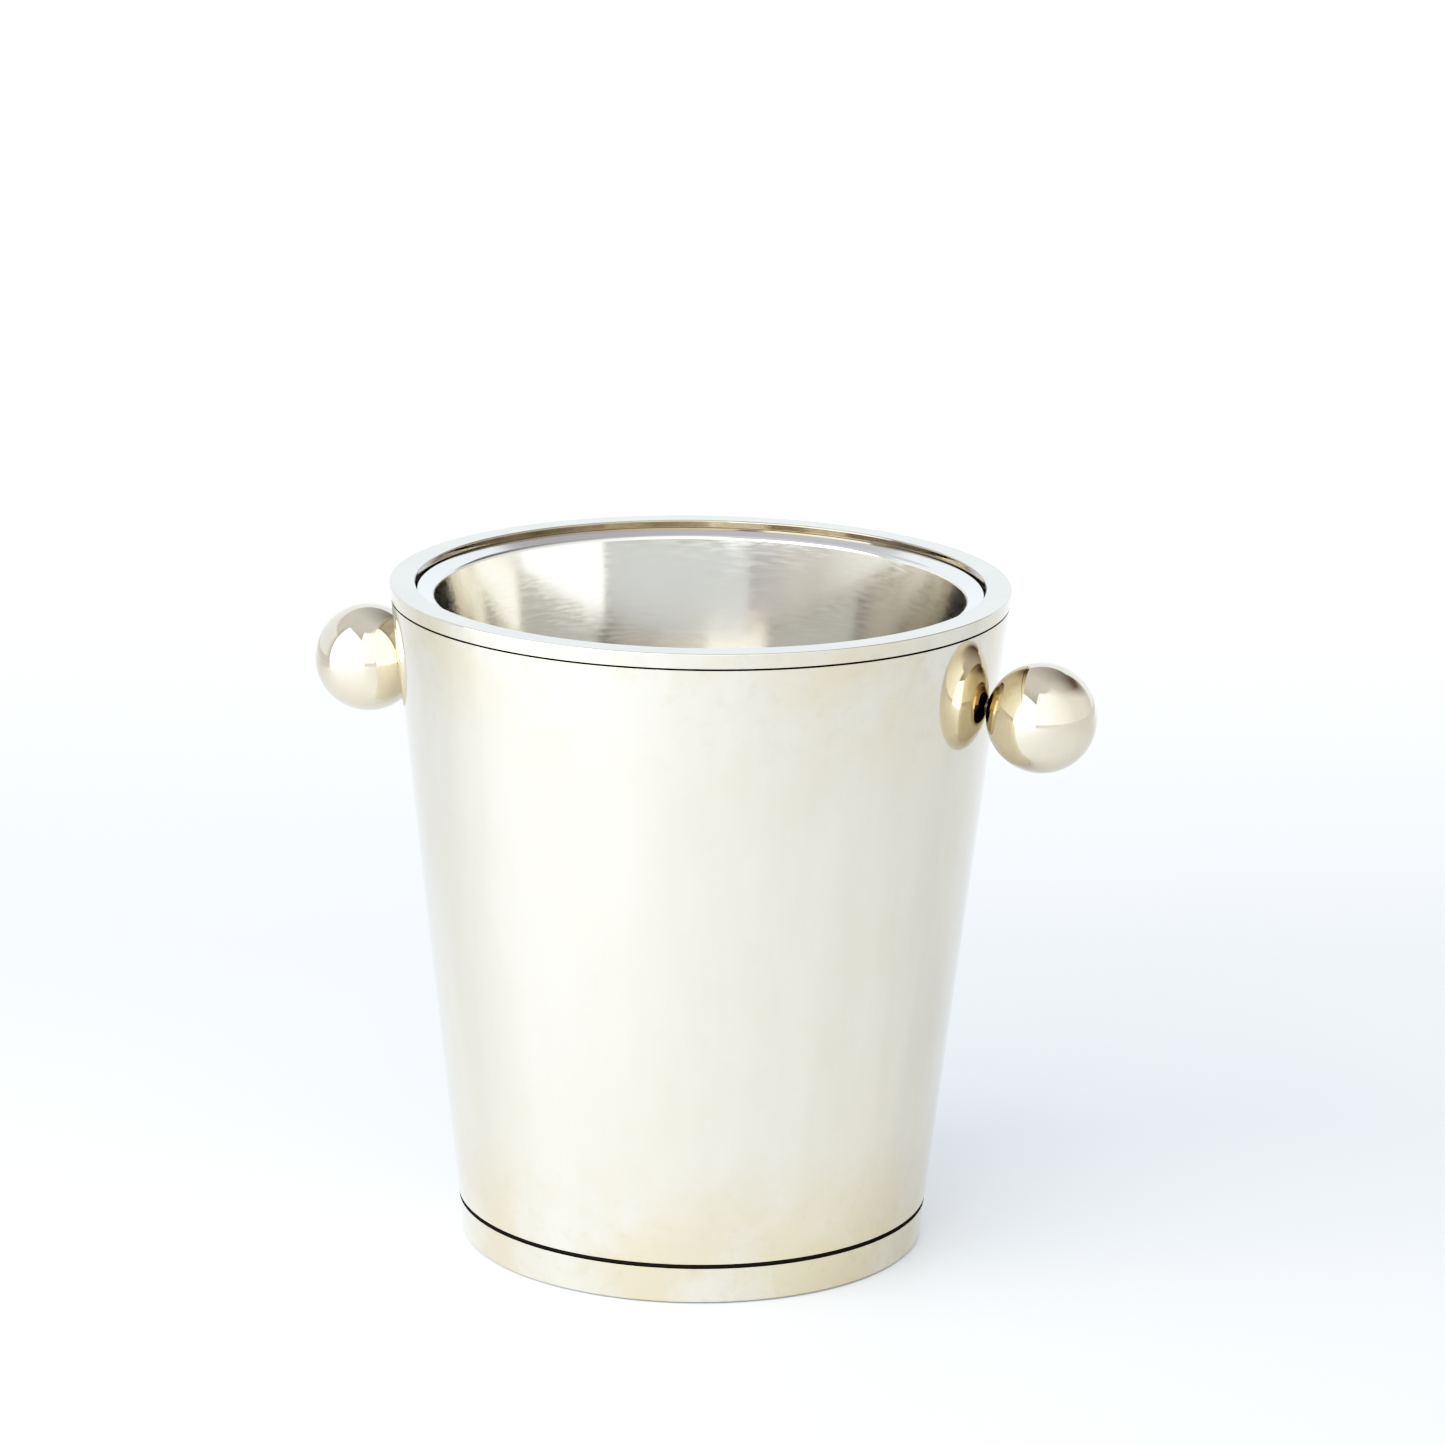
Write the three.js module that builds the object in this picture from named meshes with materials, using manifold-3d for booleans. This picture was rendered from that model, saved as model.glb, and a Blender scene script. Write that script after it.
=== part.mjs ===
// Champagne bucket: a double-walled cooler with a lift-out liner and two ball handles.
// Millimetres, +Z up. The origin is the centre of the underside, and the handles lie on the X axis.
//
// From the outside in: a turned rim collar and a turned base ring stand flush with one straight
// spun cone, each parted from it by a narrow shadow groove. The liner hangs by its flange on a
// gasket in the collar. The base plate clamps the shell's in-turned bottom to the base ring, and
// each ball is drawn against the wall by a stud, with a saddle, spring washer and nut inside.

import * as THREE from "three";
import { mergeVertices } from "three/addons/utils/BufferGeometryUtils.js";
import Module from "manifold-3d";

const wasm = await Module();
wasm.setup();

// ---- Driving dimensions ----

// Outer form: one straight cone from the foot to the rim.
const HEIGHT = 277.5;
const RIM_RADIUS = 127;
const FOOT_RADIUS = 95.55;
const CONE_SLOPE = (RIM_RADIUS - FOOT_RADIUS) / HEIGHT;
const CONE_ANGLE = Math.atan(CONE_SLOPE);

// Space kept between two pieces that bear on each other.
const CLEARANCE = 0.3;

// Facets round a turned piece: large, handle-sized and fastener-sized.
const LARGE_FACETS = 48;
const BALL_FACETS = 24;
const SMALL_FACETS = 12;
const ARC_STEP = Math.PI / 7;
// A corner radius below this is a plain chamfer.
const SMALLEST_ARC = 0.9;
const HEXAGON_SIDES = 6;
// Points closer than this are one point when a mesh becomes a solid.
const SAME_POINT = 1e-4;
// How far a drill runs past the sheet it cuts, and how much of the cone a washer is fitted to.
const DRILL_OVERRUN = 5;
const WALL_SAMPLE = 60;

// Shell: spun sheet, with its bottom edge turned in.
const SHELL_WALL = 1;
const SHELL_TOP = 270.65;
const SHELL_BOTTOM = 17.2;
const SHELL_CORNER = 1;
const BOTTOM_OPENING = 76;

// Rim collar: a flat-topped band over a recessed neck, with a seat for the liner and a skirt.
const RIM_BAND_BOTTOM = 271.45;
const RIM_TOP_WIDTH = 10.55;
const COLLAR_MOUTH = RIM_RADIUS - RIM_TOP_WIDTH;
const COLLAR_SEAT = 270.9;
const COLLAR_SEAT_THICKNESS = 3;
const COLLAR_BORE = 110.8;
const COLLAR_SKIRT = 2.5;
const COLLAR_SKIRT_BOTTOM = 256;
const EDGE_BREAK = 0.4;

// Liner: spun tub whose flange dishes down towards the well.
const LINER_WALL = 0.8;
const LINER_FLOOR = 24.8;
const LINER_FLOOR_CORNER = 12;
const FLANGE_RADIUS = 115.6;
const FLANGE_TOP = 274.5;
const FLANGE_THICKNESS = 1.3;
const FLANGE_UPPER_EDGE = 0.6;
const FLANGE_LOWER_EDGE = 0.3;
const FLANGE_FILLET = 0.8;
const WELL_RADIUS = 108.4;
const WELL_TOP = 272.3;
const WELL_LIP = 2;
const GASKET_INNER = 112.6;
const GASKET_OUTER = 116.1;

// Base: band with an inner ledge, clamp plate above it, cover and pad below it.
const BASE_RING_BOTTOM = 0.6;
const BASE_BAND_TOP = 15.7;
const BASE_GROOVE_RADIUS = 95.2;
const BASE_LEDGE_THICKNESS = 3;
const BASE_RING_BORE = 90.8;
const COVER_RECESS = 92.3;
const COVER_TOP = 4.3;
const COVER_THICKNESS = 2;
const PLATE_RADIUS = 92;
const PLATE_THICKNESS = 2;
const PAD_RADIUS = 89.5;
const PAD_THICKNESS = 2;

// Base fasteners: M4 pan heads from below, with nuts on the clamp plate.
const BASE_SCREW_COUNT = 4;
const BASE_SCREW_CIRCLE = 83.5;
const BASE_SCREW_RADIUS = 2;
const BASE_HEAD_RADIUS = 4;
const BASE_HEAD_HEIGHT = 2.8;
const BASE_HEAD_EDGE = 0.8;
const BASE_SOCKET_RADIUS = 1.45;
const BASE_SOCKET_DEPTH = 1.5;
const BASE_NUT_ACROSS_FLATS = 7;
const BASE_NUT_HEIGHT = 3.2;
const SCREW_TIP = 1;
const SCREW_CHAMFER = 0.5;

// Ball handles: the stud axis meets the wall square at this height. The ball bears on the wall
// with a small flat, so that its full sphere would just touch the wall.
const HANDLE_HEIGHT = 235.6;
const BALL_RADIUS = 22.5;
const BALL_FLAT_RADIUS = 4.2;
const BALL_FLAT = BALL_RADIUS - Math.sqrt(BALL_RADIUS ** 2 - BALL_FLAT_RADIUS ** 2);
const STUD_RADIUS = 3;
const STUD_IN_BALL = 18;
const SADDLE_RADIUS = 16;
const SADDLE_THICKNESS = 2;
const SPRING_WASHER_RADIUS = 5.9;
const SPRING_WASHER_THICKNESS = 1.6;
const SPRING_WASHER_GAP = 0.35;
const STUD_NUT_ACROSS_FLATS = 10;
const STUD_NUT_HEIGHT = 5;
const STUD_TIP = 1.5;
const STUD_CHAMFER = 0.6;

// ---- Heights and radii that follow from them ----

const SHELL_WALL_ACROSS = SHELL_WALL / Math.cos(CONE_ANGLE);
const LINER_WALL_ACROSS = LINER_WALL / Math.cos(CONE_ANGLE);
const FLANGE_SLOPE = (FLANGE_TOP - WELL_TOP) / (FLANGE_RADIUS - WELL_RADIUS);
const FLANGE_UNDERSIDE = FLANGE_TOP - FLANGE_THICKNESS * Math.hypot(1, FLANGE_SLOPE);
const BASE_SHOULDER = SHELL_BOTTOM - CLEARANCE;
const BASE_LEDGE_UNDERSIDE = BASE_SHOULDER - BASE_LEDGE_THICKNESS;
const PLATE_BOTTOM = SHELL_BOTTOM + SHELL_WALL + CLEARANCE;
const PLATE_TOP = PLATE_BOTTOM + PLATE_THICKNESS;

function coneRadius(z) {
  return FOOT_RADIUS + CONE_SLOPE * z;
}

function wellRadius(z) {
  return WELL_RADIUS - CONE_SLOPE * (WELL_TOP - z);
}

function neckRadius(z) {
  return coneRadius(z) - SHELL_WALL_ACROSS - CLEARANCE;
}

// ---- Materials ----

function metal(colour, roughness) {
  return new THREE.MeshStandardMaterial({ color: colour, roughness, metalness: 1 });
}

function soft(colour, roughness) {
  return new THREE.MeshStandardMaterial({ color: colour, roughness, metalness: 0 });
}

const finishes = {
  polishedSilver: () => metal(0xe6e2da, 0.06),
  linerSteel: () => metal(0xdcdbd8, 0.14),
  plainSteel: () => metal(0xa9a9a6, 0.35),
  blackRubber: () => soft(0x1b1a19, 0.8),
  corkFelt: () => soft(0x3a3833, 0.95),
};

// ---- Geometry helpers ----

// A corner [r, z, radius] becomes an arc that touches both of its sides.
function roundedCorner(before, corner, after) {
  const radius = corner[2];
  const at = new THREE.Vector2(corner[0], corner[1]);
  const back = new THREE.Vector2(before[0], before[1]).sub(at).normalize();
  const forward = new THREE.Vector2(after[0], after[1]).sub(at).normalize();
  const halfAngle = Math.acos(back.dot(forward)) / 2;
  const setback = radius / Math.tan(halfAngle);
  const bisector = back.clone().add(forward).normalize();
  const centre = at.clone().addScaledVector(bisector, radius / Math.sin(halfAngle));
  const start = at.clone().addScaledVector(back, setback).sub(centre).angle();
  const end = at.clone().addScaledVector(forward, setback).sub(centre).angle();
  const sweep = Math.atan2(Math.sin(end - start), Math.cos(end - start));
  const steps = radius < SMALLEST_ARC ? 1 : Math.ceil(Math.abs(sweep) / ARC_STEP);
  const arc = [];
  for (let i = 0; i <= steps; i += 1) {
    const angle = start + (sweep * i) / steps;
    arc.push(new THREE.Vector2(Math.cos(angle), Math.sin(angle)).multiplyScalar(radius).add(centre));
  }
  return arc;
}

// An outline of [r, z] points and [r, z, radius] corners, as a list of points.
function roundedOutline(corners, closed) {
  const points = [];
  corners.forEach((corner, i) => {
    const before = corners[(i + corners.length - 1) % corners.length];
    const after = corners[(i + 1) % corners.length];
    if (corner.length === 3) {
      points.push(...roundedCorner(before, corner, after));
    } else {
      points.push(new THREE.Vector2(corner[0], corner[1]));
    }
  });
  if (closed) {
    points.push(points[0].clone());
  }
  return points;
}

// A body turned about Z, from an outline that starts and ends on the axis.
function turned(corners, facets) {
  return new THREE.LatheGeometry(roundedOutline(corners, false), facets).rotateX(Math.PI / 2);
}

// A ring turned about Z, from an outline that closes on itself.
function turnedRing(corners, facets) {
  return new THREE.LatheGeometry(roundedOutline(corners, true), facets).rotateX(Math.PI / 2);
}

function disc(radius, bottom, top, facets) {
  return turned([[0, bottom], [radius, bottom], [radius, top], [0, top]], facets);
}

function hexagon(acrossFlats) {
  const shape = new THREE.Shape();
  const cornerRadius = acrossFlats / Math.sqrt(3);
  for (let i = 0; i < HEXAGON_SIDES; i += 1) {
    const angle = (2 * Math.PI * i) / HEXAGON_SIDES;
    const x = cornerRadius * Math.cos(angle);
    const y = cornerRadius * Math.sin(angle);
    if (i === 0) {
      shape.moveTo(x, y);
    } else {
      shape.lineTo(x, y);
    }
  }
  shape.closePath();
  return shape;
}

// ---- Booleans ----

function asSolid(geometry) {
  const bare = geometry.clone();
  bare.deleteAttribute("normal");
  bare.deleteAttribute("uv");
  const merged = mergeVertices(bare, SAME_POINT);
  const corners = Array.from(merged.index.array);
  const triangles = [];
  for (let i = 0; i < corners.length; i += 3) {
    const [a, b, c] = corners.slice(i, i + 3);
    if (a !== b && b !== c && c !== a) {
      triangles.push(a, b, c);
    }
  }
  return new wasm.Manifold(new wasm.Mesh({
    numProp: 3,
    vertProperties: new Float32Array(merged.attributes.position.array),
    triVerts: new Uint32Array(triangles),
  }));
}

function asGeometry(solid) {
  const mesh = solid.getMesh();
  const geometry = new THREE.BufferGeometry();
  geometry.setAttribute("position", new THREE.BufferAttribute(mesh.vertProperties, 3));
  geometry.setIndex(new THREE.BufferAttribute(mesh.triVerts, 1));
  geometry.computeVertexNormals();
  return geometry;
}

function cut(geometry, ...tools) {
  let solid = asSolid(geometry);
  for (const tool of tools) {
    solid = solid.subtract(asSolid(tool));
  }
  return asGeometry(solid);
}

// ---- Placing ----

// The stud axis: local +Z leaves the wall square to its surface, and z = 0 is that surface.
function handleMatrix() {
  const matrix = new THREE.Matrix4().makeRotationY(Math.PI / 2 + CONE_ANGLE);
  return matrix.setPosition(coneRadius(HANDLE_HEIGHT), 0, HANDLE_HEIGHT);
}

function halfTurn(index) {
  return new THREE.Matrix4().makeRotationZ(index * Math.PI);
}

function mesh(name, geometry, material) {
  const piece = new THREE.Mesh(geometry, material);
  piece.name = name;
  return piece;
}

// ---- Body pieces ----

function rimCollar() {
  const seatUnderside = COLLAR_SEAT - COLLAR_SEAT_THICKNESS;
  return turnedRing([
    [neckRadius(COLLAR_SKIRT_BOTTOM) - COLLAR_SKIRT, COLLAR_SKIRT_BOTTOM],
    [neckRadius(COLLAR_SKIRT_BOTTOM), COLLAR_SKIRT_BOTTOM],
    [neckRadius(RIM_BAND_BOTTOM), RIM_BAND_BOTTOM],
    [coneRadius(RIM_BAND_BOTTOM), RIM_BAND_BOTTOM, EDGE_BREAK],
    [RIM_RADIUS, HEIGHT, EDGE_BREAK],
    [COLLAR_MOUTH, HEIGHT, EDGE_BREAK],
    [COLLAR_MOUTH, COLLAR_SEAT],
    [COLLAR_BORE, COLLAR_SEAT],
    [COLLAR_BORE, seatUnderside],
    [neckRadius(seatUnderside) - COLLAR_SKIRT, seatUnderside],
  ], LARGE_FACETS);
}

function outerShell() {
  const insideBottom = SHELL_BOTTOM + SHELL_WALL;
  const wall = turnedRing([
    [BOTTOM_OPENING, SHELL_BOTTOM],
    [coneRadius(SHELL_BOTTOM), SHELL_BOTTOM, SHELL_CORNER],
    [coneRadius(SHELL_TOP), SHELL_TOP, EDGE_BREAK],
    [coneRadius(SHELL_TOP) - SHELL_WALL_ACROSS, SHELL_TOP],
    [coneRadius(insideBottom) - SHELL_WALL_ACROSS, insideBottom],
    [BOTTOM_OPENING, insideBottom],
  ], LARGE_FACETS);
  const studHoles = [0, 1].map((side) =>
    disc(STUD_RADIUS + CLEARANCE, -DRILL_OVERRUN, DRILL_OVERRUN, SMALL_FACETS)
      .applyMatrix4(handleMatrix())
      .applyMatrix4(halfTurn(side)));
  return cut(wall, ...studHoles, ...screwHoles(SHELL_BOTTOM, insideBottom));
}

function liner() {
  const underside = LINER_FLOOR - LINER_WALL;
  const outside = (z) => wellRadius(z) + LINER_WALL_ACROSS;
  // Where the flange's underside meets the wall's outside.
  const rise = FLANGE_SLOPE * (outside(FLANGE_UNDERSIDE) - FLANGE_RADIUS);
  const junction = FLANGE_UNDERSIDE + rise / (1 - FLANGE_SLOPE * CONE_SLOPE);
  return turned([
    [0, underside],
    [outside(underside), underside, LINER_FLOOR_CORNER + LINER_WALL],
    [outside(junction), junction, FLANGE_FILLET],
    [FLANGE_RADIUS, FLANGE_UNDERSIDE, FLANGE_LOWER_EDGE],
    [FLANGE_RADIUS, FLANGE_TOP, FLANGE_UPPER_EDGE],
    [WELL_RADIUS, WELL_TOP, WELL_LIP],
    [wellRadius(LINER_FLOOR), LINER_FLOOR, LINER_FLOOR_CORNER],
    [0, LINER_FLOOR],
  ], LARGE_FACETS);
}

function linerGasket() {
  const bottom = COLLAR_SEAT + CLEARANCE;
  const outerTop = FLANGE_UNDERSIDE - CLEARANCE;
  const innerTop = outerTop - FLANGE_SLOPE * (FLANGE_RADIUS - GASKET_INNER);
  return turnedRing([
    [GASKET_INNER, bottom],
    [GASKET_OUTER, bottom],
    [GASKET_OUTER, outerTop],
    [FLANGE_RADIUS, outerTop],
    [GASKET_INNER, innerTop],
  ], LARGE_FACETS);
}

// ---- Base pieces ----

function screwAngles() {
  return Array.from({ length: BASE_SCREW_COUNT }, (_, i) => (2 * Math.PI * (i + 0.5)) / BASE_SCREW_COUNT);
}

function onScrewCircle(geometry, angle) {
  return geometry.translate(BASE_SCREW_CIRCLE, 0, 0).rotateZ(angle);
}

function screwHoles(bottom, top) {
  const radius = BASE_SCREW_RADIUS + CLEARANCE;
  return screwAngles().map((angle) => {
    const drill = disc(radius, bottom - DRILL_OVERRUN, top + DRILL_OVERRUN, SMALL_FACETS);
    return onScrewCircle(drill, angle);
  });
}

function baseRing() {
  const ring = turnedRing([
    [COVER_RECESS, BASE_RING_BOTTOM],
    [coneRadius(BASE_RING_BOTTOM), BASE_RING_BOTTOM, SHELL_CORNER],
    [coneRadius(BASE_BAND_TOP), BASE_BAND_TOP, SHELL_CORNER],
    [BASE_GROOVE_RADIUS, BASE_BAND_TOP],
    [BASE_GROOVE_RADIUS, BASE_SHOULDER],
    [BOTTOM_OPENING, BASE_SHOULDER],
    [BOTTOM_OPENING, BASE_LEDGE_UNDERSIDE],
    [BASE_RING_BORE, BASE_LEDGE_UNDERSIDE],
    [BASE_RING_BORE, COVER_TOP + CLEARANCE],
    [COVER_RECESS, COVER_TOP + CLEARANCE],
  ], LARGE_FACETS);
  return cut(ring, ...screwHoles(BASE_LEDGE_UNDERSIDE, BASE_SHOULDER));
}

function basePlate() {
  const plate = disc(PLATE_RADIUS, PLATE_BOTTOM, PLATE_TOP, LARGE_FACETS);
  return cut(plate, ...screwHoles(PLATE_BOTTOM, PLATE_TOP));
}

function baseCover() {
  return disc(COVER_RECESS - CLEARANCE, COVER_TOP - COVER_THICKNESS, COVER_TOP, LARGE_FACETS);
}

function basePad() {
  return disc(PAD_RADIUS, 0, PAD_THICKNESS, LARGE_FACETS);
}

function baseScrew() {
  const headTop = BASE_LEDGE_UNDERSIDE - CLEARANCE;
  const headBottom = headTop - BASE_HEAD_HEIGHT;
  const tip = PLATE_TOP + CLEARANCE + BASE_NUT_HEIGHT + SCREW_TIP;
  const screw = turned([
    [0, headBottom],
    [BASE_HEAD_RADIUS, headBottom, BASE_HEAD_EDGE],
    [BASE_HEAD_RADIUS, headTop],
    [BASE_SCREW_RADIUS, headTop],
    [BASE_SCREW_RADIUS, tip - SCREW_CHAMFER],
    [BASE_SCREW_RADIUS - SCREW_CHAMFER, tip],
    [0, tip],
  ], SMALL_FACETS);
  const socketTop = headBottom + BASE_SOCKET_DEPTH;
  return cut(screw, disc(BASE_SOCKET_RADIUS, headBottom - DRILL_OVERRUN, socketTop, HEXAGON_SIDES));
}

// ---- Fasteners ----

// A hexagon nut standing on z = 0, with its corners turned off at both ends.
function hexNut(acrossFlats, height, boreRadius) {
  const prism = new THREE.ExtrudeGeometry(hexagon(acrossFlats), { depth: height, bevelEnabled: false });
  const faceRadius = acrossFlats / 2;
  const cornerRadius = acrossFlats / Math.sqrt(3);
  const turnedOff = (cornerRadius - faceRadius) / Math.sqrt(3);
  const envelope = turned([
    [0, 0],
    [faceRadius, 0],
    [cornerRadius, turnedOff],
    [cornerRadius, height - turnedOff],
    [faceRadius, height],
    [0, height],
  ], SMALL_FACETS);
  const bore = disc(boreRadius, -DRILL_OVERRUN, height + DRILL_OVERRUN, SMALL_FACETS);
  return asGeometry(asSolid(prism).intersect(asSolid(envelope)).subtract(asSolid(bore)));
}

// A split ring lying on z = 0.
function springWasher() {
  const inner = STUD_RADIUS + CLEARANCE;
  const outer = SPRING_WASHER_RADIUS;
  const start = SPRING_WASHER_GAP / 2;
  const end = 2 * Math.PI - start;
  const shape = new THREE.Shape();
  shape.absarc(0, 0, outer, start, end, false);
  shape.absarc(0, 0, inner, end, start, true);
  shape.closePath();
  return new THREE.ExtrudeGeometry(shape, {
    depth: SPRING_WASHER_THICKNESS,
    bevelEnabled: false,
    curveSegments: SMALL_FACETS,
  });
}

// ---- Handle pieces, in the stud axis's own frame ----

// The wall's cone as a solid in the handle's frame, its surface moved out by the given distance.
function wallInHandleFrame(outwards) {
  const grown = outwards / Math.cos(CONE_ANGLE);
  const low = HANDLE_HEIGHT - WALL_SAMPLE;
  const high = HANDLE_HEIGHT + WALL_SAMPLE;
  const cone = turned([
    [0, low],
    [coneRadius(low) + grown, low],
    [coneRadius(high) + grown, high],
    [0, high],
  ], LARGE_FACETS);
  return cone.applyMatrix4(handleMatrix().invert());
}

function ball() {
  const bore = STUD_RADIUS + CLEARANCE;
  const boreEnd = BALL_FLAT + STUD_IN_BALL + CLEARANCE;
  const flatAngle = Math.asin(BALL_FLAT_RADIUS / BALL_RADIUS);
  const outline = [[0, boreEnd], [bore, boreEnd], [bore, BALL_FLAT]];
  for (let i = 0; i < SMALL_FACETS; i += 1) {
    const angle = flatAngle + ((Math.PI - flatAngle) * i) / SMALL_FACETS;
    outline.push([BALL_RADIUS * Math.sin(angle), BALL_RADIUS - BALL_RADIUS * Math.cos(angle)]);
  }
  outline.push([0, 2 * BALL_RADIUS]);
  return turned(outline, BALL_FACETS);
}

function saddleWasher() {
  const inside = -SHELL_WALL - CLEARANCE;
  const blank = turnedRing([
    [STUD_RADIUS + CLEARANCE, inside - SADDLE_THICKNESS],
    [SADDLE_RADIUS, inside - SADDLE_THICKNESS],
    [SADDLE_RADIUS, 0],
    [STUD_RADIUS + CLEARANCE, 0],
  ], BALL_FACETS);
  return asGeometry(asSolid(blank).intersect(asSolid(wallInHandleFrame(inside))));
}

function stud() {
  const tip = BALL_FLAT + STUD_IN_BALL;
  const tail = nutPlace() - STUD_TIP;
  return turned([
    [0, tail],
    [STUD_RADIUS - STUD_CHAMFER, tail],
    [STUD_RADIUS, tail + STUD_CHAMFER],
    [STUD_RADIUS, tip - STUD_CHAMFER],
    [STUD_RADIUS - STUD_CHAMFER, tip],
    [0, tip],
  ], SMALL_FACETS);
}

function springWasherPlace() {
  const saddleFace = -SHELL_WALL - CLEARANCE - SADDLE_THICKNESS;
  return saddleFace - CLEARANCE - SPRING_WASHER_THICKNESS;
}

function nutPlace() {
  return springWasherPlace() - CLEARANCE - STUD_NUT_HEIGHT;
}

// ---- Assembly ----

function handle(side, turn) {
  const group = new THREE.Group();
  const nut = hexNut(STUD_NUT_ACROSS_FLATS, STUD_NUT_HEIGHT, STUD_RADIUS + CLEARANCE);
  group.add(mesh(`${side}_ball`, ball(), finishes.polishedSilver()));
  group.add(mesh(`${side}_stud`, stud(), finishes.plainSteel()));
  group.add(mesh(`${side}_saddle_washer`, saddleWasher(), finishes.plainSteel()));
  const spring = mesh(`${side}_spring_washer`, springWasher(), finishes.plainSteel());
  spring.position.z = springWasherPlace();
  group.add(spring);
  const nutMesh = mesh(`${side}_nut`, nut, finishes.plainSteel());
  nutMesh.position.z = nutPlace();
  group.add(nutMesh);
  group.applyMatrix4(handleMatrix().premultiply(halfTurn(turn)));
  return group;
}

function baseFasteners() {
  const group = new THREE.Group();
  screwAngles().forEach((angle, i) => {
    const nut = hexNut(BASE_NUT_ACROSS_FLATS, BASE_NUT_HEIGHT, BASE_SCREW_RADIUS + CLEARANCE);
    nut.translate(0, 0, PLATE_TOP + CLEARANCE);
    group.add(mesh(`base_screw_${i + 1}`, onScrewCircle(baseScrew(), angle), finishes.plainSteel()));
    group.add(mesh(`base_nut_${i + 1}`, onScrewCircle(nut, angle), finishes.plainSteel()));
  });
  return group;
}

const bucket = new THREE.Group();
bucket.add(mesh("rim_collar", rimCollar(), finishes.polishedSilver()));
bucket.add(mesh("outer_shell", outerShell(), finishes.polishedSilver()));
bucket.add(mesh("liner", liner(), finishes.linerSteel()));
bucket.add(mesh("liner_gasket", linerGasket(), finishes.blackRubber()));
bucket.add(mesh("base_ring", baseRing(), finishes.polishedSilver()));
bucket.add(mesh("base_plate", basePlate(), finishes.plainSteel()));
bucket.add(mesh("base_cover", baseCover(), finishes.plainSteel()));
bucket.add(mesh("base_pad", basePad(), finishes.corkFelt()));
bucket.add(baseFasteners());
bucket.add(handle("right", 0));
bucket.add(handle("left", 1));

export default bucket;
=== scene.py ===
"""The finished surfaces of a double-walled champagne bucket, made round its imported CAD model.

Sizes are in millimetres, and MM turns them into the scene's metres. +Z is up, the origin is the
centre of the underside, and the ball handles lie on the X axis.
"""
from math import atan, atan2, asin, ceil, copysign, cos, hypot, pi, radians, sin, sqrt, tan, tau
from operator import mul

import bpy
from mathutils import Matrix, Vector


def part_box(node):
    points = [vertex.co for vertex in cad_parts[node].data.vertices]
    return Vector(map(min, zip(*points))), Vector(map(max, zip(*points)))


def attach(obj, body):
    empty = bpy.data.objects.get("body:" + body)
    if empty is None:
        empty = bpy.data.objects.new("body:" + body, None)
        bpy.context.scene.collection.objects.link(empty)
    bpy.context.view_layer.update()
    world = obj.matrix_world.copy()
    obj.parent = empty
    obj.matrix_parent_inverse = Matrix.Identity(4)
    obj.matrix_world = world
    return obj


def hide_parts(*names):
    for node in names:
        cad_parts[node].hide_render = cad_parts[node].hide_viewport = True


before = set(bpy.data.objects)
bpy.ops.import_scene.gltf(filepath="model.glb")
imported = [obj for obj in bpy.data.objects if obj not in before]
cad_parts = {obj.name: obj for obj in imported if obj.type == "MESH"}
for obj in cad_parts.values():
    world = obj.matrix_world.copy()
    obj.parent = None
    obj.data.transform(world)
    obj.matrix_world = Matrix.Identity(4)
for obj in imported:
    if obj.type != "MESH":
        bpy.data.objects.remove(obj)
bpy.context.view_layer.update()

MM = 0.001

# ---- Driving dimensions, as in the CAD model ----

# Outer form: one straight cone from the foot to the rim.
HEIGHT = 277.5
RIM_RADIUS = 127
FOOT_RADIUS = 95.55
CONE_SLOPE = (RIM_RADIUS - FOOT_RADIUS) / HEIGHT
CONE_ANGLE = atan(CONE_SLOPE)
CLEARANCE = 0.3

SHELL_WALL = 1
SHELL_TOP = 270.65
SHELL_BOTTOM = 17.2
BOTTOM_OPENING = 76
SHELL_CORNER = 1

RIM_BAND_BOTTOM = 271.45
RIM_TOP_WIDTH = 10.55
COLLAR_MOUTH = RIM_RADIUS - RIM_TOP_WIDTH
COLLAR_SEAT = 270.9
COLLAR_SEAT_THICKNESS = 3
COLLAR_BORE = 110.8
COLLAR_SKIRT = 2.5
COLLAR_SKIRT_BOTTOM = 256
RIM_OUTER_EDGE = 0.55
RIM_INNER_EDGE = 0.7
SEAT_CORNER = 0.2
# The crisp edges on both sides of a shadow groove, the corners inside it, and edges out of sight.
GROOVE_EDGE = 0.08
GROOVE_CORNER = 0.15
HIDDEN_EDGE = 0.3
# How far inside the cone the grooves' painted shade starts and ends, how far it passes a groove's
# two edges, and how far it follows the collar's skirt down behind the shell.
GROOVE_SHADE_START = 0.015
GROOVE_SHADE_END = 3
GROOVE_SHADE_PASSES = 0.1
GROOVE_SHADE_BELOW_SKIRT = 1

LINER_WALL = 0.8
LINER_FLOOR = 24.8
LINER_FLOOR_CORNER = 12
FLANGE_RADIUS = 115.6
FLANGE_TOP = 274.5
FLANGE_THICKNESS = 1.3
FLANGE_EDGE = 0.45
WELL_RADIUS = 108.4
WELL_TOP = 272.3
WELL_LIP = 2
GASKET_INNER = 112.6
GASKET_OUTER = 116.1
GASKET_EDGE = 0.25

BASE_RING_BOTTOM = 0.6
BASE_BAND_TOP = 15.7
BASE_GROOVE_RADIUS = 95.2
BASE_LEDGE_THICKNESS = 3
BASE_RING_BORE = 90.8
COVER_RECESS = 92.3
COVER_TOP = 4.3
BASE_TOE_EDGE = 1.1
PLATE_EDGE = 0.4
PAD_EDGE = 0.8

BASE_SCREW_COUNT = 4
BASE_SCREW_CIRCLE = 83.5
BASE_SCREW_RADIUS = 2
BASE_SCREW_PITCH = 0.7
BASE_HEAD_RADIUS = 4
BASE_HEAD_HEIGHT = 2.8
BASE_HEAD_EDGE = 0.8
BASE_SOCKET_RADIUS = 1.45
BASE_SOCKET_DEPTH = 1.5
BASE_NUT_ACROSS_FLATS = 7
BASE_NUT_HEIGHT = 3.2
SCREW_TIP = 1

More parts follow.
